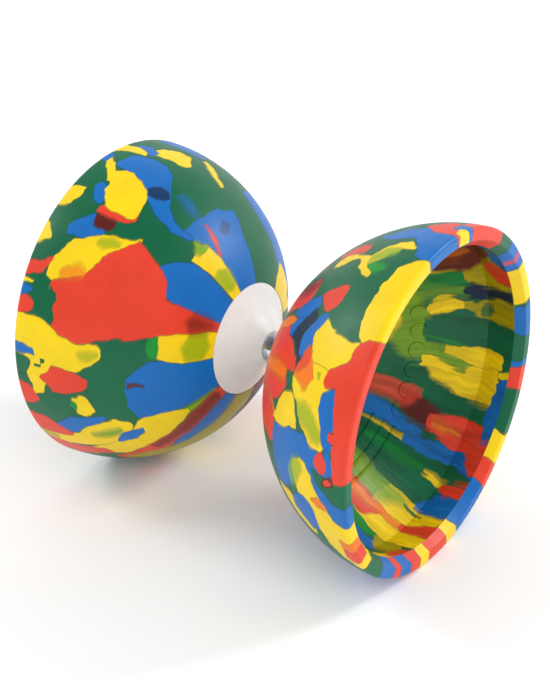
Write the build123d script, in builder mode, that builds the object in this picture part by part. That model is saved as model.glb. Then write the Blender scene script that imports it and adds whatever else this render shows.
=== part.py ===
"""Diabolo: two rubber cups on plastic hubs, clamped on one fixed steel axle.

Millimetres. +X runs along the axle, +Z is up, and the origin is the middle of the axle. The diabolo
lies on the rims of its two cups, the way it rests on a floor. The right-hand pieces, at +X, are drawn
first, and each left-hand piece is the same piece turned half a turn about Z.
"""

import os
from math import atan2, cos, degrees, radians, sin, sqrt, tan

from build123d import *

# Cup, outside: one arc from the hub to the rim.
cup_radius = 53.5
mouth_x = 60.8
dome_radius = 55.0
dome_centre_x = 61.8
dome_centre_r = cup_radius - dome_radius
rim_round = 1.3

# Cup, inside: the lip, the taper under it, the dome and the flat floor.
lip_flat_r = 49.6
lip_edge_x = 59.0
lip_edge_r = 48.2
lip_crease_x = 57.9
lip_crease_r = 47.4
taper_end_x = 48.0
taper_end_r = 48.9
mid_wall = 5.0
floor_r = 20.0
floor_x = 17.4
floor_round = 6.0
lip_round = 0.6

# Plain moulded relief around the inside of the dome: round pips and short ribs.
relief_groups = 2
pip_x = 29.4
pip_count = 11
pip_pitch = 10.5
first_pip_angle = -42.5
pip_base_radius = 3.0
pip_top_radius = 2.6
pip_height = 0.45
pip_root = 0.6
rib_xs = (24.5, 27.4, 30.1)
rib_start_angle = -112.0
rib_span = 61.0
rib_width = 1.1
rib_height = 0.55

# Hub: a dished cone with a thin flange, let into the cup, and a spigot through the cup's floor.
gap = 4.0
nose_x = gap / 2
nose_r = 5.0
flange_x = 10.6
flange_r = 18.3
flange_round = 0.35
dish_depth = 0.95
seat_x = 11.9
seat_r = 18.4
spigot_r = 7.0
spigot_end_x = 16.9
floor_hole_r = 7.1
sleeve_shoulder_x = 13.0

# Axle: a polished sleeve over an M6 threaded rod.
sleeve_r = 4.5
sleeve_seat_r = 4.55
sleeve_chamfer = 0.3
rod_r = 2.95
rod_hole_r = 3.2
rod_end_x = 29.0
rod_chamfer = 0.6

# Clamp inside each cup: pressure plate, M6 wide washer and M6 lock nut with a nylon ring.
plate_r = 18.0
plate_thickness = 3.0
plate_round = 1.2
washer_r = 9.0
washer_thickness = 1.6
washer_chamfer = 0.2
nut_across_flats = 10.0
nut_hex_height = 4.2
nut_height = 6.0
nut_chamfer_angle = 30.0
collar_r = 4.75
collar_round = 0.9
nut_lip_thickness = 0.5
thread_r = 3.0
ring_r = 4.1
ring_thickness = 1.5
nut_lip_r = 3.6

plate_x = floor_x
washer_x = plate_x + plate_thickness
nut_x = washer_x + washer_thickness
collar_x = nut_x + nut_hex_height
nut_end_x = nut_x + nut_height
ring_x = nut_end_x - nut_lip_thickness - ring_thickness
flat_r = nut_across_flats / 2
corner_r = nut_across_flats / sqrt(3)
chamfer_depth = (corner_r - flat_r) * tan(radians(nut_chamfer_angle))


def dome_x(r):
    """Where the outside of the cup's dome has radius r."""
    return dome_centre_x - sqrt(dome_radius**2 - (r - dome_centre_r) ** 2)


# The middle of the inner dome lies mid_wall inside the outer one, on the 45 degree line.
inner_mid_x = dome_centre_x - (dome_radius - mid_wall) * cos(radians(45))
inner_mid_r = dome_centre_r + (dome_radius - mid_wall) * sin(radians(45))
inner_dome = ThreePointArc((taper_end_x, taper_end_r), (inner_mid_x, inner_mid_r), (floor_x, floor_r))
inner_centre = inner_dome.arc_center
inner_radius = inner_dome.radius


def inner_r(x):
    """Radius of the inside of the cup's dome at x."""
    return inner_centre.Y + sqrt(inner_radius**2 - (x - inner_centre.X) ** 2)


def inward(x):
    """The inner dome's inward normal at x, as its axial and radial parts."""
    return (inner_centre.X - x) / inner_radius, (inner_centre.Y - inner_r(x)) / inner_radius


def pip_plane(angle):
    """A plane on the inner dome at pip_x, facing into the cup, at an angle around the axle from +Y."""
    around_y = cos(radians(angle))
    around_z = sin(radians(angle))
    r = inner_r(pip_x)
    axial, radial = inward(pip_x)
    return Plane(
        origin=(pip_x, r * around_y, r * around_z),
        z_dir=(axial, radial * around_y, radial * around_z),
    ).offset(-pip_root)


group_angles = [360 / relief_groups * group for group in range(relief_groups)]
pip_angles = [turn + first_pip_angle + pip_pitch * i for turn in group_angles for i in range(pip_count)]

# Rubber cup: a revolved shell with a thickened lip, a hole for the hub and a seat for its flange.
with BuildPart() as cup_right:
    with BuildSketch(Plane.XY) as cup_profile:
        with BuildLine():
            outer_wall = RadiusArc((dome_x(seat_r), seat_r), (mouth_x, cup_radius), dome_radius)
            Polyline(
                outer_wall @ 1,
                (mouth_x, lip_flat_r),
                (lip_edge_x, lip_edge_r),
                (lip_crease_x, lip_crease_r),
                (taper_end_x, taper_end_r),
            )
            add(inner_dome)
            Polyline(
                (floor_x, floor_r),
                (floor_x, floor_hole_r),
                (seat_x, floor_hole_r),
                (seat_x, seat_r),
                outer_wall @ 0,
            )
        make_face()
        fillet(cup_profile.vertices().sort_by_distance((mouth_x, cup_radius))[0], rim_round)
        fillet(cup_profile.vertices().sort_by_distance((mouth_x, lip_flat_r))[0], lip_round)
        fillet(cup_profile.vertices().sort_by_distance((floor_x, floor_r))[0], floor_round)
    revolve(axis=Axis.X)
    with Locations(*[pip_plane(angle) for angle in pip_angles]):
        Cone(
            pip_base_radius,
            pip_top_radius,
            pip_root + pip_height,
            align=(Align.CENTER, Align.CENTER, Align.MIN),
        )
    for turn in group_angles:
        with BuildSketch(Plane.XY.rotated((turn + rib_start_angle, 0, 0))):
            for rib_x in rib_xs:
                axial, radial = inward(rib_x)
                with Locations((rib_x, inner_r(rib_x))):
                    Ellipse(rib_height, rib_width / 2, rotation=degrees(atan2(radial, axial)))
        revolve(axis=Axis.X, revolution_arc=rib_span)
cup_right.part.label = "cup_right"

# Plastic hub: dished towards the string groove, so that the string runs down to the sleeve.
with BuildPart() as hub_right:
    with BuildSketch(Plane.XY) as hub_profile:
        with BuildLine():
            dish = SagittaArc((nose_x, nose_r), (flange_x, flange_r), -dish_depth)
            Polyline(
                dish @ 1,
                (seat_x, flange_r),
                (seat_x, spigot_r),
                (spigot_end_x, spigot_r),
                (spigot_end_x, rod_hole_r),
                (sleeve_shoulder_x, rod_hole_r),
                (sleeve_shoulder_x, sleeve_seat_r),
                (nose_x, sleeve_seat_r),
                dish @ 0,
            )
        make_face()
        fillet(hub_profile.vertices().sort_by_distance((flange_x, flange_r))[0], flange_round)
    revolve(axis=Axis.X)
hub_right.part.label = "hub_right"

# Steel sleeve: the string runs on the short stretch left bare between the hubs.
with BuildPart() as axle_sleeve:
    with BuildSketch(Plane.YZ.offset(-sleeve_shoulder_x)):
        Circle(sleeve_r)
        Circle(rod_hole_r, mode=Mode.SUBTRACT)
    extrude(amount=2 * sleeve_shoulder_x)
    end_faces = axle_sleeve.faces().filter_by(Axis.X)
    chamfer([face.outer_wire().edge() for face in end_faces], sleeve_chamfer)
axle_sleeve.part.label = "axle_sleeve"

# Threaded rod: drawn at the thread's outside diameter, chamfered at both ends.
with BuildPart() as threaded_rod:
    with BuildSketch(Plane.YZ.offset(-rod_end_x)):
        Circle(rod_r)
    extrude(amount=2 * rod_end_x)
    chamfer(threaded_rod.edges().filter_by(GeomType.CIRCLE), rod_chamfer)
threaded_rod.part.label = "threaded_rod"

# Pressure plate: spreads the nut's load over the rubber floor.
with BuildPart() as pressure_plate_right:
    with BuildSketch(Plane.YZ.offset(plate_x)):
        Circle(plate_r)
        Circle(rod_hole_r, mode=Mode.SUBTRACT)
    extrude(amount=plate_thickness)
    fillet(pressure_plate_right.faces().sort_by(Axis.X)[-1].outer_wire().edges(), plate_round)
pressure_plate_right.part.label = "pressure_plate_right"

# Wide M6 washer.
with BuildPart() as washer_right:
    with BuildSketch(Plane.YZ.offset(washer_x)):
        Circle(washer_r)
        Circle(rod_hole_r, mode=Mode.SUBTRACT)
    extrude(amount=washer_thickness)
    chamfer(washer_right.faces().sort_by(Axis.X)[-1].outer_wire().edges(), washer_chamfer)
washer_right.part.label = "washer_right"

# Lock nut: a hexagon with chamfered corners, and a round collar that holds the nylon ring.
with BuildPart() as lock_nut_right:
    with BuildSketch(Plane.YZ.offset(nut_x)):
        RegularPolygon(flat_r, 6, major_radius=False)
    extrude(amount=nut_hex_height)
    with BuildSketch(Plane.XY):
        with BuildLine():
            Polyline(
                (nut_x, 0),
                (nut_x, flat_r),
                (nut_x + chamfer_depth, corner_r),
                (collar_x - chamfer_depth, corner_r),
                (collar_x, flat_r),
                (collar_x, 0),
                close=True,
            )
        make_face()
    revolve(axis=Axis.X, mode=Mode.INTERSECT)
    with BuildSketch(Plane.YZ.offset(collar_x)):
        Circle(collar_r)
    extrude(amount=nut_end_x - collar_x)
    fillet(lock_nut_right.faces().sort_by(Axis.X)[-1].edges(), collar_round)
    with BuildSketch(Plane.XY):
        with BuildLine():
            Polyline(
                (nut_x, 0),
                (nut_x, thread_r),
                (ring_x, thread_r),
                (ring_x, ring_r),
                (ring_x + ring_thickness, ring_r),
                (ring_x + ring_thickness, nut_lip_r),
                (nut_end_x, nut_lip_r),
                (nut_end_x, 0),
                close=True,
            )
        make_face()
    revolve(axis=Axis.X, mode=Mode.SUBTRACT)
lock_nut_right.part.label = "lock_nut_right"

# Nylon ring that grips the thread.
with BuildPart() as nylon_ring_right:
    with BuildSketch(Plane.YZ.offset(ring_x)):
        Circle(ring_r)
        Circle(thread_r, mode=Mode.SUBTRACT)
    extrude(amount=ring_thickness)
nylon_ring_right.part.label = "nylon_ring_right"

# The left-hand pieces.
half_turn = (0, 0, 180)
with BuildPart() as cup_left:
    add(cup_right.part, rotation=half_turn)
cup_left.part.label = "cup_left"

with BuildPart() as hub_left:
    add(hub_right.part, rotation=half_turn)
hub_left.part.label = "hub_left"

with BuildPart() as pressure_plate_left:
    add(pressure_plate_right.part, rotation=half_turn)
pressure_plate_left.part.label = "pressure_plate_left"

with BuildPart() as washer_left:
    add(washer_right.part, rotation=half_turn)
washer_left.part.label = "washer_left"

with BuildPart() as lock_nut_left:
    add(lock_nut_right.part, rotation=half_turn)
lock_nut_left.part.label = "lock_nut_left"

with BuildPart() as nylon_ring_left:
    add(nylon_ring_right.part, rotation=half_turn)
nylon_ring_left.part.label = "nylon_ring_left"

os.makedirs("parts", exist_ok=True)
export_step(cup_right.part, "parts/cup_right.step")
export_step(cup_left.part, "parts/cup_left.step")
export_step(hub_right.part, "parts/hub_right.step")
export_step(hub_left.part, "parts/hub_left.step")
export_step(axle_sleeve.part, "parts/axle_sleeve.step")
export_step(threaded_rod.part, "parts/threaded_rod.step")
export_step(pressure_plate_right.part, "parts/pressure_plate_right.step")
export_step(pressure_plate_left.part, "parts/pressure_plate_left.step")
export_step(washer_right.part, "parts/washer_right.step")
export_step(washer_left.part, "parts/washer_left.step")
export_step(lock_nut_right.part, "parts/lock_nut_right.step")
export_step(lock_nut_left.part, "parts/lock_nut_left.step")
export_step(nylon_ring_right.part, "parts/nylon_ring_right.step")
export_step(nylon_ring_left.part, "parts/nylon_ring_left.step")
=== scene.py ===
import math
import random

import bpy
from mathutils import Matrix, Vector


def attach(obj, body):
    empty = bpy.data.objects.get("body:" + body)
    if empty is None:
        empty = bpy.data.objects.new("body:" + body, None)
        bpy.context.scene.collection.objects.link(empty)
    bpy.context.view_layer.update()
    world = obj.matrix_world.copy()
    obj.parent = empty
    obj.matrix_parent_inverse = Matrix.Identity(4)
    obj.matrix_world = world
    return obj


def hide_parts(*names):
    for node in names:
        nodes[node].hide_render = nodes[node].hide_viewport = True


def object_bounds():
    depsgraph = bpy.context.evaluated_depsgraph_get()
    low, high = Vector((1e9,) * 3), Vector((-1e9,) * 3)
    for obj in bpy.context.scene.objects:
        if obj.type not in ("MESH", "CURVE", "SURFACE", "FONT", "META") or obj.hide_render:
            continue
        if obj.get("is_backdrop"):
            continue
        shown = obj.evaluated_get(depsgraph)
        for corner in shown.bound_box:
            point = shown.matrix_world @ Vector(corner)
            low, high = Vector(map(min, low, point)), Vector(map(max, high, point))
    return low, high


# The diabolo in its shared frame: metres, the axle along X, +Z up, the origin at the axle's middle.
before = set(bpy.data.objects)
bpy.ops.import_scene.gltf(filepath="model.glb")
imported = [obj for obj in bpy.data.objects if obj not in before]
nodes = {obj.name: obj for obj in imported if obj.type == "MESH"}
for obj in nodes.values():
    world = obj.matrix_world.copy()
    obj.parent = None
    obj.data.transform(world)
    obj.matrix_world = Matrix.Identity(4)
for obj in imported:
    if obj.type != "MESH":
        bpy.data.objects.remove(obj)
cad_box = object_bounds()

# ---------------------------------------------------------------- shader building


class Tree:
    """A material's node tree, with short ways to add nodes and join them."""

    def __init__(self, tree):
        self.tree = tree

    def node(self, kind, inputs=(), **settings):
        made = self.tree.nodes.new(kind)
        for key, value in settings.items():
            setattr(made, key, value)
        for key, value in dict(inputs).items():
            self.put(made.inputs[key], value)
        return made

    def put(self, socket, value):
        if isinstance(value, bpy.types.NodeSocket):
            self.tree.links.new(value, socket)
        elif value is not None:
            socket.default_value = value

    def math(self, operation, a, b=None, c=None):
        made = self.node("ShaderNodeMath", operation=operation)
        for socket, value in zip(made.inputs, (a, b, c)):
            self.put(socket, value)
        return made.outputs[0]

    def vector(self, operation, a, b=None, c=None):
        made = self.node("ShaderNodeVectorMath", operation=operation)
        for socket, value in zip(made.inputs, (a, b, c)):
            self.put(socket, value)
        scalar = operation in ("LENGTH", "DOT_PRODUCT", "DISTANCE")
        return made.outputs["Value" if scalar else "Vector"]

    def scaled(self, a, factor):
        made = self.node("ShaderNodeVectorMath", operation="SCALE")
        self.put(made.inputs[0], a)
        self.put(made.inputs["Scale"], factor)
        return made.outputs["Vector"]

    def ramp(self, value, from_min, from_max, to_min=0.0, to_max=1.0, smooth=True):
        kind = "SMOOTHSTEP" if smooth else "LINEAR"
        made = self.node("ShaderNodeMapRange", interpolation_type=kind)
        for socket, number in zip(made.inputs, (value, from_min, from_max, to_min, to_max)):
            self.put(socket, number)
        return made.outputs["Result"]

    def mix(self, factor, a, b, blend="MIX"):
        made = self.node("ShaderNodeMix", data_type="RGBA", blend_type=blend)
        self.put(made.inputs["Factor"], factor)
        self.put(made.inputs[6], a)
        self.put(made.inputs[7], b)
        return made.outputs[2]

    def noise(self, vector, size, detail=2.0, roughness=0.5, output="Fac"):
        """Noise whose features are about size long, in the vector's own unit."""
        made = self.node(
            "ShaderNodeTexNoise",
            {"Vector": vector, "Scale": 1.0 / size, "Detail": detail, "Roughness": roughness},
        )
        return made.outputs["Color" if output == "Color" else 0]

    def streaks(self, seed, around, along, degrees, reach):
        """Noise stretched along the wall, about -0.3 to 0.3: streaks degrees wide and reach mm long."""
        bend = self.math("RADIANS", around)
        ring = TURN / degrees / math.tau
        made = self.node("ShaderNodeCombineXYZ")
        self.put(made.inputs[0], self.math("MULTIPLY", self.math("COSINE", bend), ring))
        self.put(made.inputs[1], self.math("MULTIPLY", self.math("SINE", bend), ring))
        self.put(made.inputs[2], self.math("MULTIPLY_ADD", along, 1.0 / reach, seed * 7.0))
        return self.math("SUBTRACT", self.noise(made.outputs[0], 1.0, 2.0, 0.6), 0.5)

    def bump(self, height, distance, strength=1.0):
        made = self.node(
            "ShaderNodeBump", {"Height": height, "Distance": distance, "Strength": strength}
        )
        return made.outputs[0]


def new_material(name):
    """An empty node material, its Tree and its Principled shader."""
    material = bpy.data.materials.new(name)
    material.use_nodes = True
    material.node_tree.nodes.clear()
    tree = Tree(material.node_tree)
    shader = tree.node("ShaderNodeBsdfPrincipled")
    output = tree.node("ShaderNodeOutputMaterial")
    tree.put(output.inputs["Surface"], shader.outputs[0])
    return material, tree, shader


MM_PER_M = 1000.0


def position_mm(tree):
    """The point on the piece in its own frame, in millimetres."""
    where = tree.node("ShaderNodeTexCoord").outputs["Object"]
    return tree.scaled(where, MM_PER_M)


def linear(red, green, blue):
    """A screen colour, 0 to 255 a channel, as the linear colour that a shader takes."""
    colour = []
    for channel in (red / 255, green / 255, blue / 255):
        colour.append(channel / 12.92 if channel <= 0.04045 else ((channel + 0.055) / 1.055) ** 2.4)
    return (*colour, 1.0)


# ---------------------------------------------------------------- marbled rubber

RUBBER = {
    "green": linear(0, 98, 62),
    "leaf": linear(0, 142, 44),
    "blue": linear(0, 102, 180),
    "yellow": linear(236, 202, 0),
    "red": linear(220, 60, 36),
    "lime": linear(122, 164, 0),
    "olive": linear(164, 150, 0),
    "orange": linear(232, 116, 8),
    "maroon": linear(92, 26, 20),
    "navy": linear(10, 34, 62),
    "seam": linear(14, 40, 22),
}

# The cup's outer wall is one arc, in mm. Its centre is just past the mouth and just beyond the axis.
DOME_RADIUS = 55.0
DOME_CENTRE_X = 61.8
DOME_CENTRE_R = -1.5
HUB_EDGE_R = 18.4
HUB_EDGE_ANGLE = math.asin((HUB_EDGE_R - DOME_CENTRE_R) / DOME_RADIUS)
CREASE_X = 57.9  # under the lip, where the inside's colours begin
SKIN_DEPTH = 1.6  # deeper than this under the arc, a face is inside the cup

# A stroke is a patch of colour: stations of (mm along the wall from the hub, from, to), where from and
# to are degrees round the axle. 0 is +Y, -90 the underside, -180 is -Y and -270 the top.
SEAM = 30.0  # degrees at which the coordinate round the axle starts again
TURN = 360.0
ALONG_START = -10.0  # mm
LONGEST = 80.0  # mm along, from ALONG_START
AROUND_START = -430.0
AROUND_REACH = 560.0
CRISP = 0.35  # mm either way over which a stroke's edge blends, unless it is a softer one
TIP = 0.6  # mm in which a crisp stroke's end closes; a softer one's takes longer
CROSSED = 6.0  # degrees that a stroke's sides are past each other beyond its ends, so nothing shows
SEAM_SHADE = 2.8  # how far the rubber darkens along the line where two colours have knitted
SHARPEST = 2.5  # how fast a stroke's crispest edge turns from one colour to the other, per mm


def stroke(colour, *stations, edge=CRISP, strength=1.0):
    """A patch of colour to paint, its edge blending over edge mm either way."""
    return {"colour": colour, "stations": stations, "edge": edge, "strength": strength}


def wall_radius(tree, along):
    """Radius of the outer wall in mm at a distance along it from the hub's edge."""
    angle = tree.math("MULTIPLY_ADD", along, 1.0 / DOME_RADIUS, HUB_EDGE_ANGLE)
    return tree.math("MULTIPLY_ADD", tree.math("SINE", angle), DOME_RADIUS, DOME_CENTRE_R)


CALM_R = 48.0  # mm from the axle at which the strokes' edges wander fully
CALM = 0.2  # the part of that at the hub, where the strokes are narrow
SMEAR_WIDTH, SMEAR_LENGTH = 5.0, 40.0  # degrees and mm of the streaks that smear strokes sideways
SMEAR_ALONG = 1.5  # mm that the same streaks move them along


def cup_coordinates(tree, seed, wobble, smear):
    """Degrees round the axle and mm along the wall, wandering by wobble's (size, reach) noises in mm."""
    point = position_mm(tree)
    offset = tree.vector("ADD", point, (seed * 37.0, seed * 11.0, seed * 53.0))
    shift = None
    for size, reach in wobble:
        drift = tree.noise(offset, size, detail=1.0, output="Color")
        step = tree.scaled(tree.vector("SUBTRACT", drift, (0.5, 0.5, 0.5)), reach)
        shift = step if shift is None else tree.vector("ADD", shift, step)
    off_axis = tree.vector("LENGTH", tree.vector("MULTIPLY", point, (0.0, 1.0, 1.0)))
    calm = tree.ramp(off_axis, HUB_EDGE_R, CALM_R, CALM, 1.0)
    moved = tree.vector("ADD", point, tree.scaled(shift, calm))
    split = tree.node("ShaderNodeSeparateXYZ", {"Vector": moved})
    x, y, z = split.outputs[0], split.outputs[1], split.outputs[2]
    radius = tree.vector("LENGTH", tree.vector("MULTIPLY", moved, (0.0, 1.0, 1.0)))
    degrees = tree.math("DEGREES", tree.math("ARCTAN2", z, y))
    depth = tree.math("SUBTRACT", DOME_CENTRE_X, tree.math("ABSOLUTE", x))
    height = tree.math("SUBTRACT", radius, DOME_CENTRE_R)
    angle = tree.math("SUBTRACT", tree.math("ARCTAN2", height, depth), HUB_EDGE_ANGLE)
    along = tree.math("MULTIPLY", angle, DOME_RADIUS)
    if smear:
        streak = tree.streaks(seed, degrees, along, SMEAR_WIDTH, SMEAR_LENGTH)
        degrees = tree.math("MULTIPLY_ADD", streak, smear, degrees)
        along = tree.math("MULTIPLY_ADD", streak, SMEAR_ALONG, along)
    around = tree.math("WRAP", degrees, SEAM, SEAM - TURN)
    return around, along


def group(name, inputs):
    """An empty node group with these inputs and a colour out: the group, its Tree, inputs and output."""
    made = bpy.data.node_groups.new(name, "ShaderNodeTree")
    for label, kind in inputs:
        made.interface.new_socket(label, in_out="INPUT", socket_type=kind)
    made.interface.new_socket("Color", in_out="OUTPUT", socket_type="NodeSocketColor")
    tree = Tree(made)
    return made, tree, tree.node("NodeGroupInput").outputs, tree.node("NodeGroupOutput").inputs[0]


def lay_group():
    """Lays one stroke's colour over another, where a point lies between the stroke's two sides."""
    number, hue = "NodeSocketFloat", "NodeSocketColor"
    inputs = [("Under", hue), ("Over", hue), ("Sides", hue), ("Turned", number), ("Scale", number)]
    inputs += [("Strength", number)]
    made, tree, given, result = group("lay_stroke", inputs)
    under, over, sides, turned, scale, strength = given[:6]
    split = tree.node("ShaderNodeSeparateColor", {"Color": sides}).outputs
    from_left = tree.math("SUBTRACT", turned, split[0])
    to_right = tree.math("SUBTRACT", split[1], turned)
    depth = tree.math("MULTIPLY", tree.math("MINIMUM", from_left, to_right), scale)
    sharpness = tree.math("MULTIPLY", split[2], SHARPEST)
    rise = tree.math("MAXIMUM", tree.math("MULTIPLY_ADD", depth, sharpness, 0.5), 0.0)
    rise = tree.math("MINIMUM", rise, 1.0)
    laid = tree.mix(tree.math("MULTIPLY", rise, strength), under, over)
    blend = tree.math("MULTIPLY", rise, tree.math("SUBTRACT", 1.0, rise))
    seam = tree.math("MULTIPLY", tree.math("MULTIPLY", blend, split[2]), SEAM_SHADE)
    tree.put(result, tree.mix(seam, laid, RUBBER["seam"]))
    return made


LAY = lay_group()
LAYER_SIZE = 12  # strokes to a node group: small groups build much faster than one big tree


def lanes(patch):
    """The stroke's sides as stops of a colour ramp, once for each turn of the cup that it shows on."""
    stations = patch["stations"]
    ends = []
    tip = TIP * patch["edge"] / CRISP
    for station, way in ((stations[0], -tip), (stations[-1], tip)):
        middle = (station[1] + station[2]) / 2
        ends.append((station[0] + way, middle + CROSSED, middle - CROSSED))
    stations = (ends[0], *stations, ends[1])
    jumps = [0.0]
    if max(s[2] for s in stations) > SEAM:
        jumps.append(-TURN)
    if min(s[1] for s in stations) < SEAM - TURN:
        jumps.append(TURN)
    for jump in jumps:
        stops = []
        for at, start, end in stations:
            sides = [(side + jump - AROUND_START) / AROUND_REACH for side in (start, end)]
            stops.append(((at - ALONG_START) / LONGEST, sides[0], sides[1]))
        yield stops


def layer(name, strokes):
    """A node group that lays a few strokes over the colour it is given."""
    inputs = [("Under", "NodeSocketColor"), ("Place", "NodeSocketFloat")]
    inputs += [("Turned", "NodeSocketFloat"), ("Scale", "NodeSocketFloat")]
    made, tree, given, result = group(name, inputs)
    colour = given[0]
    for patch in strokes:
        sharpness = 0.5 / patch["edge"] / SHARPEST
        for stops in lanes(patch):
            lane = tree.node("ShaderNodeValToRGB", {"Fac": given[1]})
            elements = lane.color_ramp.elements
            while len(elements) < len(stops):
                elements.new(1.0)
            for element, (place, left, right) in zip(elements, stops):
                element.position = place
                element.color = (left, right, sharpness, 1.0)
            laid = tree.node("ShaderNodeGroup", node_tree=LAY)
            values = (colour, RUBBER[patch["colour"]], lane.outputs[0], given[2], given[3])
            for socket, value in zip(laid.inputs, (*values, patch["strength"])):
                tree.put(socket, value)
            colour = laid.outputs[0]
    tree.put(result, colour)
    return made


def paint(tree, name, around, along, base, strokes):
    """Lays the strokes over one another, first to last, and returns the colour."""
    place = tree.math("MULTIPLY_ADD", along, 1.0 / LONGEST, -ALONG_START / LONGEST)
    turned = tree.math("MULTIPLY_ADD", around, 1.0 / AROUND_REACH, -AROUND_START / AROUND_REACH)
    scale = tree.math("MULTIPLY", wall_radius(tree, along), math.radians(AROUND_REACH))
    colour = RUBBER[base]
    for i in range(0, len(strokes), LAYER_SIZE):
        few = layer(f"{name}_{i}", strokes[i:i + LAYER_SIZE])
        laid = tree.node("ShaderNodeGroup", node_tree=few)
        for socket, value in zip(laid.inputs, (colour, place, turned, scale)):
            tree.put(socket, value)
        colour = laid.outputs[0]
    return colour


def rubber(name, seed, base, strokes, wobble, smear=0.0):
    """Moulded marbled rubber: crisp patches, a satin skin with a moulded grain, and faint scuffs."""
    material, tree, shader = new_material(name)
    around, along = cup_coordinates(tree, seed, wobble, smear)
    colour = paint(tree, name, around, along, base, strokes)
    point = position_mm(tree)
    tone = tree.ramp(tree.noise(point, 9.0, 3.0, 0.6), 0.25, 0.75, 0.92, 1.05, smooth=False)
    colour = tree.mix(1.0, colour, tone, "MULTIPLY")
    if smear:
        veins = tree.streaks(seed + 0.5, around, along, 2.2, 26.0)
        shade = tree.ramp(veins, -0.2, 0.2, 0.72, 1.12, smooth=False)
        colour = tree.mix(1.0, colour, shade, "MULTIPLY")
    tree.put(shader.inputs["Base Color"], colour)
    scuff = tree.noise(point, 5.0, 6.0, 0.7)
    tree.put(shader.inputs["Roughness"], tree.ramp(scuff, 0.3, 0.75, 0.38, 0.46))
    shader.inputs["Specular IOR Level"].default_value = 0.33
    grain = tree.noise(point, 0.9, 1.0, 0.5)
    swell = tree.noise(point, 9.0, 0.0)
    height = tree.math("ADD", tree.math("MULTIPLY", grain, 0.004), tree.math("MULTIPLY", swell, 0.12))
    tree.put(shader.inputs["Normal"], tree.bump(height, 0.001, 0.35))
    return material


# (size, reach) in mm of each noise that bends the strokes' edges
OUTER_WOBBLE = ((22.0, 5.0), (8.0, 4.0), (2.6, 1.3))
INNER_WOBBLE = ((20.0, 5.0), (6.0, 3.0), (1.8, 1.0))


# The colour that a random stroke of each colour is tinged with, and its outline: how wide it is at
# each step from one end to the other.
ACCENTS = {"yellow": "lime", "red": "maroon", "blue": "navy", "green": "leaf"}
FULLNESS = ((-1.0, 0.3), (-0.6, 0.85), (0.0, 1.0), (0.55, 0.85), (1.0, 0.35))


def blob(dice, colour, along, reach, middle, wide, edge=CRISP, strength=1.0):
    """An uneven stroke, reach mm each way along the wall and wide degrees each way round."""
    lean = dice.uniform(-0.4, 0.4) * wide
    stations = []
    for step, fullness in FULLNESS:
        here = middle + lean * step
        left, right = (wide * fullness * dice.uniform(0.7, 1.25) for _ in range(2))
        stations.append((along + reach * step, here - left, here + right))
    return stroke(colour, *stations, edge=edge, strength=strength)


ACCENT_CHANCE = 0.3
MIXTURE = ("blue", "yellow", "red", "blue", "yellow", "red", "green")


def scattered(seed, around, along, length, width):
    """Random strokes that fill a stretch of a cup in rows, each about length by width mm."""
    dice = random.Random(seed)
    rows = round((along[1] - along[0]) / length)
    made = []
    for row in range(rows):
        place = along[0] + (row + 0.5) * length
        radius = DOME_CENTRE_R + DOME_RADIUS * math.sin(place / DOME_RADIUS + HUB_EDGE_ANGLE)
        columns = round(math.radians(around[1] - around[0]) * radius / width)
        cell = (around[1] - around[0]) / columns
        for column in range(columns):
            colour = dice.choice(MIXTURE)
            middle = around[0] + (column + 0.5 + dice.uniform(-0.3, 0.3)) * cell
            shift = dice.uniform(-0.3, 0.3) * length
            reach, wide = dice.uniform(0.5, 0.9) * length, dice.uniform(0.4, 0.7) * cell
            made.append(blob(dice, colour, place + shift, reach, middle, wide))
            if dice.random() < ACCENT_CHANCE:
                beside = middle + dice.choice((-0.6, 0.6)) * wide
                past = place + shift + dice.choice((-0.6, 0.6)) * reach
                size = (0.5 * reach, beside, 0.4 * wide)
                made.append(blob(dice, ACCENTS[colour], past, *size, edge=1.2, strength=0.75))
    return made


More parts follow.
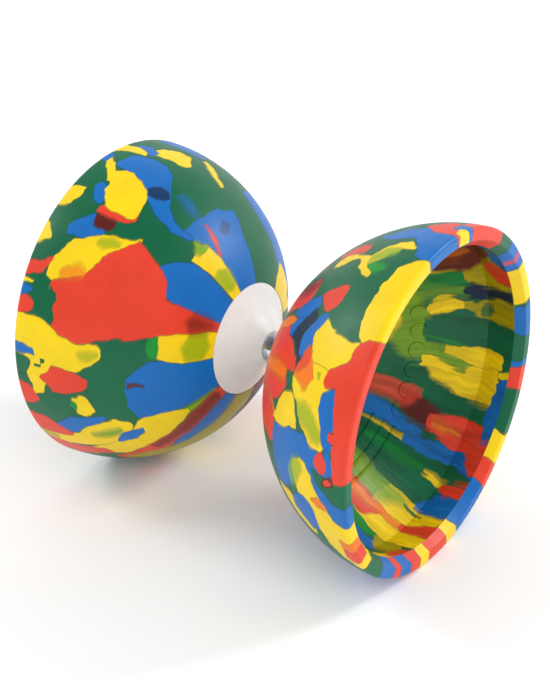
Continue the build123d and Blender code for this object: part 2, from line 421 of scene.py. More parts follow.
# The strokes of each wall. The sides that aren't painted one by one are filled at random.
left_outside = scattered(3, (-112, 48), (-9, 18), 27, 11)
left_outside += scattered(4, (-112, 52), (8, 72), 16, 17)
left_outside += [
    # streaks that run out from the hub, from the back over the top and down the front to the underside
    stroke("yellow", (-9, 8, 42), (4, 9, 40), (12, 12, 34)),
    stroke(
        "blue", (-9, -281, -256), (8, -283.5, -256), (18, -285, -255), (24.5, -286, -250),
        (26.5, -262, -250),
    ),
    stroke("red", (13, -258.5, -257), (18, -262.5, -259.5), (24, -262, -261), edge=0.5),
    stroke("navy", (18, -274, -269), (20, -278, -268), (22, -276, -272), edge=1.2, strength=0.6),
    stroke("yellow", (-9, -257.5, -244.5), (8, -258, -244.5), (14, -257, -243.5), (19.5, -255, -242.5)),
    stroke(
        "lime", (3.5, -257.5, -244.5), (6.5, -258, -244.5), (9, -257.5, -244.5), edge=1.5,
        strength=0.8,
    ),
    stroke("lime", (17.8, -256, -248), (20, -254, -247), (23, -251.5, -250), edge=0.8),
    stroke(
        "blue", (-9, -243.5, -216), (12, -243.5, -216), (18.5, -242.5, -218), (22, -238, -220),
        (26, -231, -228),
    ),
    stroke(
        "yellow", (-9, -211, -184.5), (8, -208, -183.5), (13, -206, -185.5), (17, -203, -188),
        (19.6, -201, -190),
    ),
    stroke("lime", (4, -208, -184), (6.5, -207, -184), (9, -206, -184), edge=1.8, strength=0.75),
    stroke("leaf", (18.8, -201, -189), (20.6, -200, -188), (21.6, -197, -190), edge=0.8),
    stroke(
        "blue", (-9, -184.5, -148), (10, -184, -149.5), (17, -188, -150.5), (22, -187, -152.5),
        (26, -182, -154), (28.4, -178, -157),
    ),
    stroke("maroon", (22, -174.2, -173.4), (28, -176, -172), edge=0.4, strength=0.9),
    stroke("lime", (1.5, -149.5, -145.5), (12, -149, -142), (16, -149, -141), edge=1.0),
    stroke(
        "yellow", (12.5, -147.5, -143), (17, -151, -140), (21, -153.5, -136.5), (26, -155, -133),
        (29, -154, -131), (32, -148, -130.5), (40, -142, -129.5), (45, -141, -132),
        (49, -139, -136),
    ),
    stroke(
        "red", (-9, -148, -133), (3.5, -147, -131), (10, -143, -126), (20, -136, -124),
        (34, -130, -120), (46, -128, -118), edge=1.0,
    ),
    stroke(
        "maroon", (2.5, -146, -132), (8, -143.5, -128), (14, -140, -127), (20, -135, -126),
        (30, -130, -125), edge=1.4, strength=0.8,
    ),
    stroke(
        "blue", (-9, -132, -112), (4, -130, -111), (12, -127, -111), (20, -125, -114),
        (26, -123, -117), edge=0.8,
    ),
    stroke(
        "olive", (-9, -112, -87), (6, -111, -88), (14, -114, -90), (20, -116, -92),
        (34, -124, -108), (44, -125, -112), edge=1.0,
    ),
    stroke("navy", (-9, -87, -62), (4, -86, -64), (14, -80, -70), edge=2.0, strength=0.8),
    # the big red patch, its tongue to the hub, and the yellow along its near side
    stroke(
        "yellow", (34, -236, -233), (38, -234, -224), (43, -231, -214), (48, -228.5, -211),
        (53, -226, -210), (55, -222, -211), (57.5, -217, -213),
    ),
    stroke("lime", (39, -231, -229), (42, -230.5, -226.5), (45, -228, -226), edge=1.0, strength=0.7),
    stroke(
        "red", (-9, -218, -210), (3, -218, -208.5), (8, -217.8, -205), (14, -217.8, -202.5),
        (19.6, -218, -200), (21.5, -226, -198.5), (24, -231, -197), (28, -233.5, -195.8),
        (34.6, -235, -194), (38, -229, -193.5), (42, -223, -192.5), (46, -215.5, -191.5),
        (50, -213.5, -193), (52, -213, -194.5), (55.5, -211.2, -209.5),
    ),
    stroke("green", (50.8, -200, -198.5), (52.3, -207, -196.5), (55, -210, -195)),
    stroke(
        "maroon", (2.5, -217.5, -209), (6, -217.5, -206), (9.5, -217, -204.5), edge=2.0,
        strength=0.75,
    ),
    stroke("orange", (46, -218, -214), (49, -219, -213), (52.5, -217, -213), edge=1.4, strength=0.75),
    # the yellow below the red patch, with the red oval in it
    stroke(
        "yellow", (36.8, -192, -187), (40, -193, -184), (44, -192, -181.5), (50, -194, -181),
        (53, -196, -178), (56, -196.5, -171), (59, -197.5, -168), (60.5, -197.5, -182),
        (67, -197, -185),
    ),
    stroke("lime", (38, -190, -188), (41, -190, -186), (43.5, -189, -187), edge=1.2, strength=0.6),
    stroke(
        "red", (40.6, -178, -174), (43, -181, -171.5), (48, -182, -171), (52, -181, -172),
        (55.5, -177, -175),
    ),
    stroke("green", (54.5, -184.5, -182.8), (56, -184.5, -182.5), edge=0.25),
    stroke("green", (55.5, -182, -181), (57.5, -182, -180.6), edge=0.25),
    stroke("yellow", (38.4, -166, -163.5), (40.5, -169, -162), (43, -170.5, -161.3), (45.2, -168, -163)),
    stroke("leaf", (44.6, -168, -163.5), (46.8, -166, -164.5), edge=0.8),
    # blue swirl, and the round yellow patch with its red crescent
    stroke("blue", (27, -263, -260), (31, -266, -259), (35, -265, -261), edge=1.6, strength=0.55),
    stroke(
        "blue", (24, -252, -249), (29, -251, -246.5), (34, -254, -247.5), (38, -262, -249.5),
        (42, -268, -252.5), (47, -270, -257), (52, -271, -258), (56, -268, -259), (58, -265, -260),
    ),
    stroke(
        "navy", (36.6, -258.5, -255.5), (39, -261, -254), (42, -260, -254), (43.6, -256.5, -255),
        edge=0.7, strength=0.85,
    ),
    stroke("red", (40, -246, -240.5), (44, -244, -237), (48, -243, -236), (51.5, -240, -237)),
    stroke("maroon", (44.2, -237, -233), (46.5, -237, -230.5), (50.5, -236.5, -232), edge=0.8),
    stroke("blue", (45, -232, -229.5), (49, -232.5, -227.5), (51, -236.5, -227), (56.5, -231.5, -227)),
    stroke("blue", (52, -246, -240), (54, -250, -241), (57, -251, -247)),
    stroke(
        "yellow", (40.4, -251, -242), (43, -255, -240.5), (47, -257.5, -240), (51, -258.5, -240.5),
        (53, -258.5, -246), (54, -258, -252), (56, -257, -252), (58, -260, -255),
        (61, -263.5, -259.5),
    ),
    # the far side and towards the rim
    stroke(
        "yellow", (33, -289.5, -287.5), (38, -291, -288), (43, -293, -289.5), (47, -292.5, -290.5),
        edge=0.5,
    ),
    stroke(
        "yellow", (43, -281.5, -278.5), (46, -284, -276.5), (48.5, -288, -276), (52, -286, -274),
        (55, -281, -272.5),
    ),
    stroke("blue", (48, -296, -292), (56, -300, -288), (62, -296, -286), edge=0.8),
    stroke("blue", (53, -275, -272), (57, -278, -271), (61, -276, -272)),
    stroke("yellow", (54.5, -272, -270), (59, -273, -268), (67, -272, -265)),
    stroke(
        "blue", (36.5, -160, -157.5), (42, -161, -154.5), (48, -160, -152.5), (53, -156.5, -152.5),
        (54, -155, -153),
    ),
    stroke(
        "yellow", (31, -154.5, -150), (34, -156.5, -144.5), (40, -156.5, -141.5), (46, -153, -141),
        (50, -151, -141), (58, -149.5, -141), (68, -147, -140),
    ),
    stroke("leaf", (34, -152, -148), (38, -152.5, -147), (43, -150, -148), edge=1.4, strength=0.75),
    stroke("blue", (28, -148.5, -145), (31, -149.5, -142), (34, -148, -141.2), (36.3, -145, -142)),
    stroke("red", (44, -137, -131), (52, -140, -131), (60, -142, -132), (68, -143, -132)),
    stroke(
        "red", (49.5, -151, -149), (53, -154, -148), (57, -156.5, -148), (62, -158.5, -149),
        (68, -158, -150),
    ),
    stroke("olive", (58, -147, -143), (61, -148, -142), (64, -146, -143), edge=1.0, strength=0.8),
    stroke("red", (56.6, -219, -217.8), (59, -219, -214.5), (62, -217.5, -211.5), (68, -215, -210)),
    stroke("yellow", (60.5, -209.6, -208.6), (64, -210, -208), (68, -210, -207)),
    stroke("red", (60, -201, -199), (63, -204, -197), (68, -204, -196)),
    stroke("blue", (60.5, -206, -205), (64, -208, -203), (68, -209, -203)),
    stroke("blue", (57, -187, -185.5), (60, -188, -184), (68, -188, -183.5)),
    stroke("green", (58.6, -182, -177.5), (60.5, -183.5, -175), (68, -184, -173.5)),
    stroke("yellow", (59, -245.5, -239), (61, -245.5, -236.5), (68, -242, -235)),
    stroke("yellow", (60.6, -226, -223.5), (64, -229.5, -222), (68, -230, -221)),
    stroke("red", (57.8, -167.5, -165.5), (60, -171, -163), (68, -172, -162)),
    stroke("blue", (61, -264, -259), (68, -266, -258)),
]

right_outside = scattered(11, (-330, 30), (-9, 18), 27, 11)
right_outside += scattered(12, (-128, 62), (16, 61), 15, 17)
right_outside += [
    # round the top
    stroke("red", (30, -262, -257), (36, -264.5, -257), (42, -260, -256), edge=1.0),
    stroke(
        "yellow", (30.5, -255, -252), (34, -257.5, -250.5), (38, -257, -252),
        (42.5, -254.5, -253.3), edge=0.5,
    ),
    stroke(
        "blue", (42, -268.5, -265.5), (48, -273, -264), (54, -275, -265), (58, -273, -262),
        (60, -272, -254.5), (62, -272, -253.5), (66, -272, -256), (69, -272, -256),
    ),
    stroke("red", (53, -279, -275), (57, -284, -272), (61, -281, -271), (64, -276, -271)),
    stroke(
        "yellow", (46, -253, -250), (49, -257, -249), (52, -261, -253), (55, -263, -257.5),
        (58.6, -260.3, -258.3),
    ),
    stroke(
        "lime", (47, -253, -250.5), (51, -257.5, -251.5), (54.5, -258, -253.5), edge=1.0,
        strength=0.8,
    ),
    stroke(
        "leaf", (47.4, -249, -246), (49.5, -250.5, -244.3), (52, -250, -244.8), (54, -248, -246),
        edge=1.0,
    ),
    stroke(
        "yellow", (41.6, -255.5, -253.5), (44, -254.5, -250), (46, -253.5, -246.8),
        (48, -249.5, -244), (50, -244.8, -243),
    ),
    # the reds that run to the hub, with the blue and navy between them
    stroke("red", (8, -244, -232), (24, -246, -233), (28, -247, -232.5), (31.5, -243, -234)),
    stroke("maroon", (20, -246, -240), (27, -247, -240), (31, -244, -240), edge=1.6, strength=0.7),
    stroke(
        "red", (-9, -230, -196), (26, -229, -195), (29.6, -220.5, -194.8), (33, -217.8, -197.5),
        (36.3, -214, -201.5), (37.6, -212.5, -204), (39.8, -209.8, -208.4),
    ),
    stroke(
        "orange", (10, -229, -222), (26, -229.5, -223), (29, -228, -224), (31, -226.3, -225.3),
        edge=0.5,
    ),
    stroke(
        "orange", (10, -210, -203), (30, -209.5, -203), (34, -208.5, -203.5), (36.4, -207, -205),
        edge=1.0, strength=0.8,
    ),
    stroke("orange", (20, -196.5, -194), (30, -195.5, -192), (33, -193, -190), edge=0.8, strength=0.8),
    stroke("red", (6, -194, -176), (24, -195, -176), (30, -193, -176.5), (33.8, -187, -180)),
    stroke(
        "blue", (26.5, -231.8, -230.8), (29, -233.8, -228.5), (32, -235.6, -226),
        (36, -235.2, -226), (38.2, -233, -229.5),
    ),
    stroke("blue", (28.6, -223.5, -221.5), (31, -227, -219.5), (34, -228, -219)),
    stroke(
        "navy", (31.5, -220.3, -218.8), (34, -226, -217.8), (37, -230.5, -214.5),
        (39.5, -229, -210.5), (41, -226, -209.5), edge=0.6, strength=0.9,
    ),
    stroke(
        "blue", (38.8, -223, -213.5), (41, -227, -213), (43.2, -229.2, -217), (45.6, -228.5, -224),
        edge=0.6,
    ),
    stroke(
        "red", (37.2, -235.8, -234.8), (40, -237.7, -231.7), (44, -239.3, -229.5),
        (45.8, -239, -231), (46.8, -237.5, -235),
    ),
    stroke("green", (35.4, -206.8, -206), (37.6, -207.6, -203), (40.6, -207.8, -203)),
    # the blue side
    stroke(
        "blue", (32.6, -188.3, -172), (36, -189, -165), (40, -190, -165), (44, -191.3, -168),
        (45.6, -191.6, -172), (46.6, -191.6, -183), (50, -190.8, -182), (54, -189, -177),
        (57, -188, -171), (60, -183, -166), (63, -176, -163.5), (69, -172, -163),
    ),
    stroke("yellow", (35, -163, -160), (42, -165, -154), (48, -160, -150), (51, -156, -151), edge=0.7),
    stroke(
        "blue", (43.6, -164, -160), (47, -167.5, -156), (50, -169.3, -153), (53, -167, -153),
        (55.4, -163, -157),
    ),
    stroke(
        "yellow", (44.8, -181, -178.6), (47.4, -184, -168), (50, -182.6, -168), (53, -179, -166.5),
        (55, -175.5, -150), (58, -170.5, -144), (61, -166, -142.5), (69, -164.5, -142),
    ),
    stroke("lime", (44, -182, -170), (46.5, -183, -170), (48.5, -181, -177), edge=1.6, strength=0.7),
    stroke(
        "blue", (47, -166.5, -156), (50, -168.5, -153), (53, -166.5, -153.5), (54.6, -163, -157),
        edge=0.7,
    ),
    stroke("orange", (53.4, -170.3, -169.3), (56, -172.3, -168.5), (58.8, -169.3, -168.3)),
    stroke("green", (53.5, -182.5, -181), (57, -181.5, -176.5), (62, -180.8, -173), (69, -180.8, -172)),
    # the yellow middle
    stroke(
        "yellow", (43.4, -222, -218.6), (45, -225, -214), (46, -227.6, -211), (48, -225, -205),
        (51, -222.5, -205), (57, -221.3, -205), (60.5, -222, -212),
    ),
    stroke(
        "yellow", (40.6, -207, -203.6), (42, -209, -201.6), (44, -212, -198), (47, -212, -193),
        (50, -212, -190.5), (53, -212, -188.8), (55.5, -210, -188.4), (57.5, -207, -192),
    ),
    stroke(
        "lime", (43, -201, -199), (47, -201, -194.5), (51, -198.5, -191.8), (54, -195, -191),
        edge=1.4, strength=0.75,
    ),
    stroke("green", (41.6, -202.4, -201.2), (43.6, -201, -196), (45.6, -196.5, -191)),
    stroke(
        "yellow", (31.6, -190.6, -189.6), (34, -197.8, -189), (37, -201.5, -188.6),
        (40, -202.6, -189.8), (42, -202.2, -191), (44.6, -195, -192),
    ),
    stroke(
        "orange", (40.6, -211.5, -207.5), (43, -217.3, -206), (45.4, -215.5, -205),
        (47.5, -210.5, -205.8), edge=0.8,
    ),
    stroke(
        "red", (40.6, -211.5, -209), (43.2, -217.3, -209.5), (45.4, -215.3, -211.5), edge=1.0,
        strength=0.85,
    ),
    stroke("lime", (49, -209.6, -208.4), (50.4, -209.6, -208.4), edge=0.5, strength=0.7),
    # along the near rim
    stroke(
        "yellow", (57, -241, -226), (58.2, -249, -223.6), (60, -251.2, -221.8), (62, -253.6, -222),
        (66, -256, -223), (72, -256, -223),
    ),
    stroke(
        "red", (53, -210.5, -207.5), (54, -213, -206.2), (57, -215.3, -205.8),
        (58.4, -217.5, -203), (59.4, -220.5, -196), (60, -222, -182.5), (62, -224, -180.2),
        (72, -224.5, -180.2),
    ),
    stroke(
        "blue", (53.5, -204.3, -200), (54.6, -205, -192.5), (57, -206, -189.3),
        (58.4, -206, -189.3), (58.9, -200, -189.3), (59.4, -195, -190),
    ),
    stroke(
        "blue", (57.3, -190.5, -184.5), (58.4, -190, -181.5), (59.6, -188, -181),
        (60, -184.5, -181.6),
    ),
    stroke("red", (54.2, -188, -184), (56, -189, -182), (57.6, -187, -182.4)),
    stroke("red", (57.8, -195.2, -192.8), (60.4, -195, -192.4), edge=0.25),
    stroke("maroon", (57.6, -181, -178.8), (59.5, -182.3, -177.2), (61.6, -181.2, -178.8), edge=0.3),
    stroke("red", (58.2, -180.7, -179.1), (59.5, -181.6, -178), (61.1, -180.8, -179.1), edge=0.3),
    # round the lip
    stroke("yellow", (61, -335, -325.5), (72, -335, -325.5)),
    stroke("blue", (61, -325.5, -311), (72, -325.5, -311)),
    stroke("red", (61, -319.5, -317), (72, -321.5, -319), edge=0.8, strength=0.8),
    stroke("green", (61, -311, -303), (72, -311, -303)),
    stroke("red", (60, -303, -281), (72, -303, -281)),
    stroke("blue", (61, -281.2, -276), (72, -281.2, -276)),
    stroke("yellow", (62.4, -276.5, -273), (65, -278.5, -272), (72, -278.5, -272)),
    stroke("orange", (61, -157, -150), (72, -157, -150)),
    stroke("red", (61, -152, -144.5), (72, -152, -144.5)),
    stroke("yellow", (61, -144.6, -140), (72, -144.6, -140)),
    stroke("green", (61, -140, -129), (72, -140, -129)),
    stroke("blue", (61, -129, -100), (72, -129, -100)),
    stroke("red", (61, -122, -116), (65, -119, -114), (72, -119, -114)),
    stroke("red", (61, -109, -101), (65, -107, -101), (72, -107, -101)),
    stroke("yellow", (61, -101, -95), (72, -101, -95)),
    stroke("red", (58, -95.5, -83), (72, -95.5, -83)),
    stroke("yellow", (58, -83.4, -75.4), (72, -83.4, -75.4)),
    stroke("blue", (58, -75.6, -56), (72, -75.6, -56)),
    stroke("red", (58, -56.2, -47), (72, -56.2, -47)),
    stroke("yellow", (58, -47.2, -35.5), (72, -47.2, -35.5)),
    stroke("green", (58, -35.7, -19), (72, -35.7, -19)),
    stroke("red", (58, -19.3, -10.8), (72, -19.3, -10.8)),
    stroke("blue", (58, -11, -7.6), (72, -11, -7.6)),
    stroke("green", (58, -7.8, 3.5), (72, -7.8, 3.5)),
    stroke("blue", (58, 3.4, 16), (72, 3.4, 16)),
    stroke("yellow", (58, 17, 30), (72, 17, 30)),
]

right_inside = scattered(21, (-326, -132), (4, 64), 20, 13)
right_inside += scattered(22, (-330, 30), (-10, 6), 16, 12)
right_inside += [
    # the lit lower part: orange, yellow and green streaks
    stroke("yellow", (54, -128, -116), (62, -128, -112)),
    stroke(
        "blue", (34, -108, -106), (40, -111.5, -106), (47, -113.5, -105), (53, -113, -104),
        (55, -110, -106), edge=0.8,
    ),
    stroke(
        "leaf", (33, -103, -100), (38, -107, -99.5), (44, -105.5, -99), (50, -103, -99), edge=0.8,
        strength=0.8,
    ),
    stroke("olive", (49, -104, -100), (53, -112, -98), (58, -113, -97), edge=1.0),
    stroke("red", (58, -116, -106), (66, -120, -104), edge=0.6),
    stroke("yellow", (34, -101, -97), (38, -101, -76), (50, -100, -75), (66, -98, -76), edge=0.5),
    stroke(
        "lime", (12, -90, -75), (30, -88, -75.5), (38, -87, -76), (44, -83, -77), (48, -80, -78),
        edge=2.0, strength=0.9,
    ),
    stroke(
        "red", (14, -96, -86), (27, -98, -86.5), (33, -101, -86.5), (38, -99, -87.5),
        (42, -94, -88.5), edge=0.9,
    ),
    stroke("orange", (24, -94, -89), (36, -94, -88), (45, -92.5, -88.7), (53, -92, -89), edge=1.0),
    stroke("red", (50, -91.5, -89), (54, -93, -86.5), (58, -93, -84), (66, -94, -83), edge=0.5),
    stroke("green", (46.5, -79.5, -78.5), (50, -80.5, -78), (54, -79.5, -78.5), edge=0.6),
    # green and blue streaks
    stroke("green", (2, -75, -56), (54, -74.6, -50)),
    stroke(
        "leaf", (20, -64, -61), (32, -64, -60), (40, -63.5, -61), (48, -63, -62), edge=1.2,
        strength=0.7,
    ),
    stroke("blue", (0, -54, -41), (24, -52, -41), (32, -50, -43.5), (38, -48.5, -45), edge=1.0),
    stroke(
        "yellow", (8, -57, -54.8), (24, -55.3, -53), (33, -54, -52), (37, -53, -52), edge=0.6,
        strength=0.85,
    ),
    stroke("blue", (33, -55, -49), (44, -54.6, -47.5), (54, -56, -47), (62, -60, -48), edge=0.8),
    stroke("blue", (50, -76, -73.5), (55, -76, -67), (66, -76, -62), edge=0.6),
    stroke("yellow", (45, -63.5, -62), (52, -65, -61.3), (54.5, -64, -62), edge=0.5, strength=0.9),
    stroke("red", (53.4, -65.5, -62.5), (57, -68, -61.7), (66, -66, -61), edge=0.4),
    # the red streak
    stroke("maroon", (28, -40, -32), (33, -43.5, -34.5), (41, -45.5, -36), edge=1.2),
    stroke(
        "red", (0, -41, -26), (17, -40, -27.5), (24, -38.5, -29), (30, -38, -30), (33, -35, -31.5),
        edge=1.0, strength=0.75,
    ),
    stroke(
        "red", (38, -44, -38.5), (43, -46, -37), (48, -47.5, -36), (54, -49, -37), (58, -55, -39),
        (60, -58, -40.5), (66, -58, -42), edge=0.5,
    ),
    stroke("orange", (40, -43, -39), (45, -44, -39.5), (50, -43.6, -41), edge=1.0),
    # dark green and the big olive patches
    stroke(
        "lime", (6, -8, 32), (16, -6, 30), (24, -17.5, 27), (30, -18.5, 14), (36, -19, -6),
        (42, -20, -6), (48, -18, -9), edge=1.6, strength=0.85,
    ),
    stroke("yellow", (4, -10, 12), (16, -5, 9), (20, 3, 13), edge=1.6, strength=0.8),
    stroke(
        "yellow", (30, -20, -15), (33, -23, -15.5), (37, -26.5, -17), (44, -28, -18.5),
        (49, -28.7, -13), (54, -29, -7), (57, -29, -10), (58, -26, -20), edge=0.6,
    ),
    stroke(
        "yellow", (38, -11, -8.5), (44, -13, -8), (48, -15, -6), (54, -12, -5), (58, -10, -6),
        edge=0.6,
    ),
    stroke(
        "green", (30, -8, 6), (36, -9, 5), (42, -7, 4), (48, -5, 3.5), (54, -4.5, 3),
        (62, -5, 3.5), edge=1.0,
    ),
    stroke("leaf", (30, -4, -1), (36, -6, -2.5), (42, -8, -5), edge=1.0, strength=0.7),
    stroke("yellow", (30.5, 10, 13), (33, 7.5, 15.8), (38, 6, 16), (42, 8, 14.5), (47, 10, 13), edge=0.5),
    stroke("olive", (44, 9, 13), (48.5, 5, 12), (52, 3.8, 14), (57, 3.2, 15.5), (66, 4, 14), edge=0.5),
    stroke("green", (49.5, 6, 9), (52, 5, 11), (54, 8, 10), edge=0.6, strength=0.85),
    stroke("lime", (22, 14, 28), (30, 16, 29), (38, 16, 23), (46, 16, 20), edge=1.6, strength=0.6),
    stroke("navy", (43, 17, 20), (48, 14, 22), (56, 15, 23), (61, 14, 22), edge=0.6),
    stroke("leaf", (30, 22, 33), (38, 21, 34), (45, 23, 33), edge=1.4, strength=0.45),
    stroke("olive", (44, 24, 32), (48, 22, 35), (52, 21.5, 42), (57, 22, 42), (62, 24, 34), edge=0.7),
    stroke("maroon", (32, 36, 50), (40, 32, 52), (48, 31, 54), (56, 38, 58), edge=1.2),
    stroke("orange", (36, 40, 47), (44, 38, 47), (50, 40, 46), edge=1.6, strength=0.5),
    stroke("red", (52.4, 30, 34), (56, 25.5, 36.5), (60, 26, 36), (66, 27, 35), edge=0.5),
    stroke("blue", (56.6, -37, -30), (58, -41, -16), (66, -41.5, -14), edge=0.6),
    stroke("yellow", (57.5, -14, -11), (66, -17, -10), edge=0.4),
    stroke("blue", (57, 38, 48), (66, 36, 50), edge=0.6),
]

left_inside = scattered(31, (-330, 30), (-10, 64), 24, 14)


# ---------------------------------------------------------------- the other materials


def hub_plastic():
    """Injection-moulded white plastic: satin, with a faint flow mottling."""
    material, tree, shader = new_material("satin_hub")
    point = position_mm(tree)
    cloud = tree.noise(point, 6.0, 3.0, 0.6)
    colour = tree.mix(tree.ramp(cloud, 0.3, 0.7), linear(224, 221, 216), linear(229, 226, 222))
    tree.put(shader.inputs["Base Color"], colour)
    wear = tree.noise(point, 2.0, 4.0, 0.6)
    tree.put(shader.inputs["Roughness"], tree.ramp(wear, 0.3, 0.7, 0.4, 0.48))
    shader.inputs["Subsurface Weight"].default_value = 0.15
    shader.inputs["Subsurface Radius"].default_value = (0.0012, 0.001, 0.0008)
    grain = tree.noise(point, 1.2, 1.0, 0.5)
    tree.put(shader.inputs["Normal"], tree.bump(tree.math("MULTIPLY", grain, 0.006), 0.001, 0.3))
    return material


def plate_plastic():
    """Matt off-white moulded plastic with a fine spark-eroded texture."""
    material, tree, shader = new_material("matt_plate")
    point = position_mm(tree)
    cloud = tree.noise(point, 5.0, 3.0, 0.6)
    colour = tree.mix(tree.ramp(cloud, 0.3, 0.7), linear(214, 211, 204), linear(226, 223, 217))
    tree.put(shader.inputs["Base Color"], colour)
    wear = tree.noise(point, 1.5, 4.0, 0.6)
    tree.put(shader.inputs["Roughness"], tree.ramp(wear, 0.3, 0.7, 0.46, 0.6))
    grain = tree.noise(point, 0.25, 2.0, 0.7)
    tree.put(shader.inputs["Normal"], tree.bump(tree.math("MULTIPLY", grain, 0.03), 0.001, 0.5))
    return material


def steel(name, bright, dark, roughness, turned):
    """Metal with fine rings from turning, or the faint cloudiness of zinc plating."""
    material, tree, shader = new_material(name)
    point = position_mm(tree)
    shader.inputs["Metallic"].default_value = 1.0
    cloud = tree.noise(point, 1.6, 4.0, 0.65)
    tree.put(shader.inputs["Base Color"], tree.mix(tree.ramp(cloud, 0.3, 0.7), dark, bright))
    wear = tree.noise(point, 0.8, 5.0, 0.7)
    tree.put(shader.inputs["Roughness"], tree.ramp(wear, 0.25, 0.75, roughness, roughness + 0.12))
    stretch = (1.0, 0.04, 0.04) if turned else (1.0, 1.0, 1.0)
    lines = tree.noise(tree.vector("MULTIPLY", point, stretch), 0.4, 1.0, 0.5)
    tree.put(shader.inputs["Normal"], tree.bump(tree.math("MULTIPLY", lines, 0.003), 0.001, 0.3))
    return material


def nylon():
    """The blue nylon of a lock nut's ring, faintly streaked by the thread."""
    material, tree, shader = new_material("blue_nylon")
    point = position_mm(tree)
    cloud = tree.noise(point, 1.2, 3.0, 0.6)
    colour = tree.mix(tree.ramp(cloud, 0.3, 0.7), linear(24, 62, 128), linear(36, 84, 158))
    tree.put(shader.inputs["Base Color"], colour)
    tree.put(shader.inputs["Roughness"], tree.ramp(cloud, 0.3, 0.7, 0.42, 0.55))
    shader.inputs["Subsurface Weight"].default_value = 0.1
    shader.inputs["Subsurface Radius"].default_value = (0.0004, 0.0006, 0.001)
    return material


def dress(node, *materials):
    """Gives a CAD node its materials."""
    slots = nodes[node].data.materials
    slots.clear()
    for material in materials:
        slots.append(material)


def dress_cup(node, outside, inside):
    """The faces under the lip, inside the cup, take the second material."""
    dress(node, outside, inside)
    mesh = nodes[node].data
    for face in mesh.polygons:
        x, y, z = (MM_PER_M * c for c in face.center)
        x = abs(x)
        radius = math.hypot(y, z)
        skin = math.hypot(DOME_CENTRE_X - x, radius - DOME_CENTRE_R)
        face.material_index = 1 if x < CREASE_X and skin < DOME_RADIUS - SKIN_DEPTH else 0


dress_cup(
    "cup_left",
    rubber("rubber_left_outside", 1.0, "green", left_outside, OUTER_WOBBLE),
    rubber("rubber_left_inside", 2.0, "green", left_inside, INNER_WOBBLE, 22.0),
)
dress_cup(
    "cup_right",
    rubber("rubber_right_outside", 4.0, "green", right_outside, OUTER_WOBBLE),
    rubber("rubber_right_inside", 5.0, "green", right_inside, INNER_WOBBLE, 10.0),
)
white = hub_plastic()
plate = plate_plastic()
polished = steel("turned_sleeve", linear(226, 228, 232), linear(206, 209, 214), 0.1, True)
zinc = steel("plated_steel", linear(204, 208, 212), linear(176, 181, 188), 0.26, False)
ring = nylon()
for side in ("left", "right"):
    dress(f"hub_{side}", white)
    dress(f"pressure_plate_{side}", plate)
    dress(f"washer_{side}", zinc)
    dress(f"lock_nut_{side}", zinc)
    dress(f"nylon_ring_{side}", ring)
dress("axle_sleeve", polished)
dress("threaded_rod", zinc)

# ---------------------------------------------------------------- the rod's thread

# An M6 thread in metres, just under the nuts' bore.
ROD_RADIUS = 0.00295
ROD_HALF = 0.029
ROD_ROOT = 0.00245
PITCH = 0.001
RINGS_PER_PITCH = 10
ROD_SIDES = 36
END_CHAMFER = 0.0006
END_EDGE = 0.0002
FLAT_PART = 0.125  # of the pitch: how wide the flat at the root is, and the one at the crest


def thread_height(phase):
    """How far up the thread's flanks a point is, 0 at the root and 1 at the crest."""
    flank = abs(2.0 * (phase % 1.0) - 1.0)
    return max(0.0, min(1.0, (flank - FLAT_PART) / (1.0 - 2.0 * FLAT_PART)))


def threaded_rod():
    """A rod with a right-handed single thread cut along its whole length and chamfered ends."""
    rings = round(2 * ROD_HALF / PITCH * RINGS_PER_PITCH)
    points = []
    for i in range(rings + 1):
        x = -ROD_HALF + 2 * ROD_HALF * i / rings
        limit = ROD_ROOT - END_CHAMFER + (ROD_HALF - abs(x)) + END_EDGE
        for j in range(ROD_SIDES):
            turned = j / ROD_SIDES
            height = thread_height(x / PITCH - turned)
            radius = min(limit, ROD_ROOT + (ROD_RADIUS - ROD_ROOT) * height)
            angle = math.tau * turned
            points.append((x, radius * math.cos(angle), radius * math.sin(angle)))
    faces = []
    for i in range(rings):
        for j in range(ROD_SIDES):
            here, side = i * ROD_SIDES + j, i * ROD_SIDES + (j + 1) % ROD_SIDES
            faces.append((here, side, side + ROD_SIDES, here + ROD_SIDES))
    last = rings * ROD_SIDES
    faces.append(tuple(reversed(range(ROD_SIDES))))
    faces.append(tuple(range(last, last + ROD_SIDES)))
    mesh = bpy.data.meshes.new("rod_thread")
    mesh.from_pydata(points, [], faces)
    mesh.update()
    rod = bpy.data.objects.new("rod_thread", mesh)
    bpy.context.scene.collection.objects.link(rod)
    return rod


rod = threaded_rod()
rod.data.materials.append(zinc)
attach(rod, "diabolo")
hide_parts("threaded_rod")

SHARP = math.radians(32)  # edges that turn more than this stay crisp
for piece in [*nodes.values(), rod]:
    piece.data.shade_smooth()
    piece.data.set_sharp_from_angle(angle=SHARP)

# ---------------------------------------------------------------- floor, light and camera

LOW = Vector(cad_box[0])
CENTRE = (LOW + Vector(cad_box[1])) / 2


def pale_floor():
    """Matt white paper with a trace of cloudiness."""
    material, tree, shader = new_material("floor_white")
    tint = tree.ramp(tree.noise(position_mm(tree), 60.0, 3.0), 0.3, 0.7, 0.99, 1.0)
    tree.put(shader.inputs["Base Color"], tree.mix(1.0, (0.93, 0.93, 0.93, 1.0), tint, "MULTIPLY"))
    shader.inputs["Roughness"].default_value = 0.9
    shader.inputs["Specular IOR Level"].default_value = 0.1
    return material


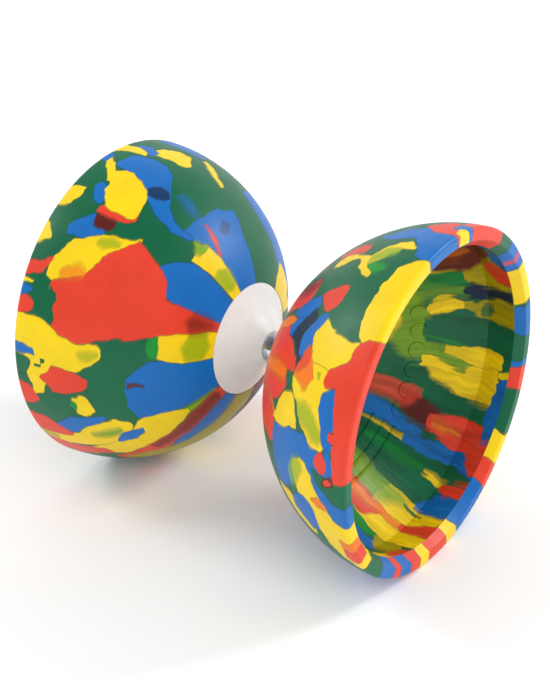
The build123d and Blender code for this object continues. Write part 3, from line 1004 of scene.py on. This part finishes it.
FLOOR_SIZE = 8.0
bpy.ops.mesh.primitive_plane_add(size=FLOOR_SIZE, location=(0, 0, LOW.z))
floor = bpy.context.object
floor.name = "floor"
floor.data.materials.append(pale_floor())
floor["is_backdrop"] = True


def softbox(name, direction, distance, size, energy):
    """A square soft light in a direction from the object, facing it."""
    data = bpy.data.lights.new(name, "AREA")
    data.shape = "SQUARE"
    data.size = size
    data.energy = energy
    light = bpy.data.objects.new(name, data)
    bpy.context.scene.collection.objects.link(light)
    away = Vector(direction).normalized()
    light.location = CENTRE + away * distance
    light.rotation_euler = away.to_track_quat("Z", "Y").to_euler()
    return light


softbox("softbox_right", (0.54, 0.64, 0.55), 0.9, 0.22, 3.2)
softbox("softbox_left", (-0.74, -0.29, 0.61), 0.9, 0.3, 2.4)
fill = softbox("softbox_front", (0.75, -0.55, 0.55), 1.3, 0.9, 5.0)
fill.visible_glossy = False

# The studio is white. What shiny things reflect of it fades to nearly nothing behind the camera, so
# that the rubber keeps its colour, and what lights them is nearly even all round.
TO_CAMERA = Vector((0.5169, -0.7149, 0.4726))
BEHIND_OBJECT, BEHIND_CAMERA = 1.1, 0.12
EVEN_LIGHT = 0.8
world = bpy.data.worlds.new("studio")
bpy.context.scene.world = world
world.use_nodes = True
world.node_tree.nodes.clear()
studio = Tree(world.node_tree)
towards = studio.node("ShaderNodeTexCoord").outputs["Generated"]
facing = studio.vector("DOT_PRODUCT", towards, tuple(TO_CAMERA))
surround = studio.ramp(facing, -0.6, 0.3, BEHIND_OBJECT, BEHIND_CAMERA)
path = studio.node("ShaderNodeLightPath").outputs
even = studio.math("MULTIPLY", path["Is Diffuse Ray"], EVEN_LIGHT)
strength = studio.math("MAXIMUM", studio.math("MAXIMUM", surround, even), path["Is Camera Ray"])
background = studio.node("ShaderNodeBackground", {"Color": (1.0, 1.0, 1.0, 1.0), "Strength": strength})
studio.put(studio.node("ShaderNodeOutputWorld").inputs["Surface"], background.outputs[0])

# The camera's own axes and its place, in metres.
SIDE = Vector((0.80985, 0.58664, 0.0))
UP = Vector((-0.27555, 0.38039, 0.88282))
BACK = Vector((0.5179, -0.71495, 0.4697))
CAMERA_PLACE = (0.2388, -0.3303, 0.2183)
LENS_MM = 77.56
camera_data = bpy.data.cameras.new("camera")
camera_data.lens = LENS_MM
camera = bpy.data.objects.new("camera", camera_data)
bpy.context.scene.collection.objects.link(camera)
turn = Matrix((SIDE, UP, BACK)).transposed().to_4x4()
camera.matrix_world = Matrix.Translation(CAMERA_PLACE) @ turn
bpy.context.scene.camera = camera

bpy.context.scene.view_settings.view_transform = "Standard"

boxes = {"cad": cad_box, "visual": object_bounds()}
{name: [list(corner) for corner in box] for name, box in boxes.items()}
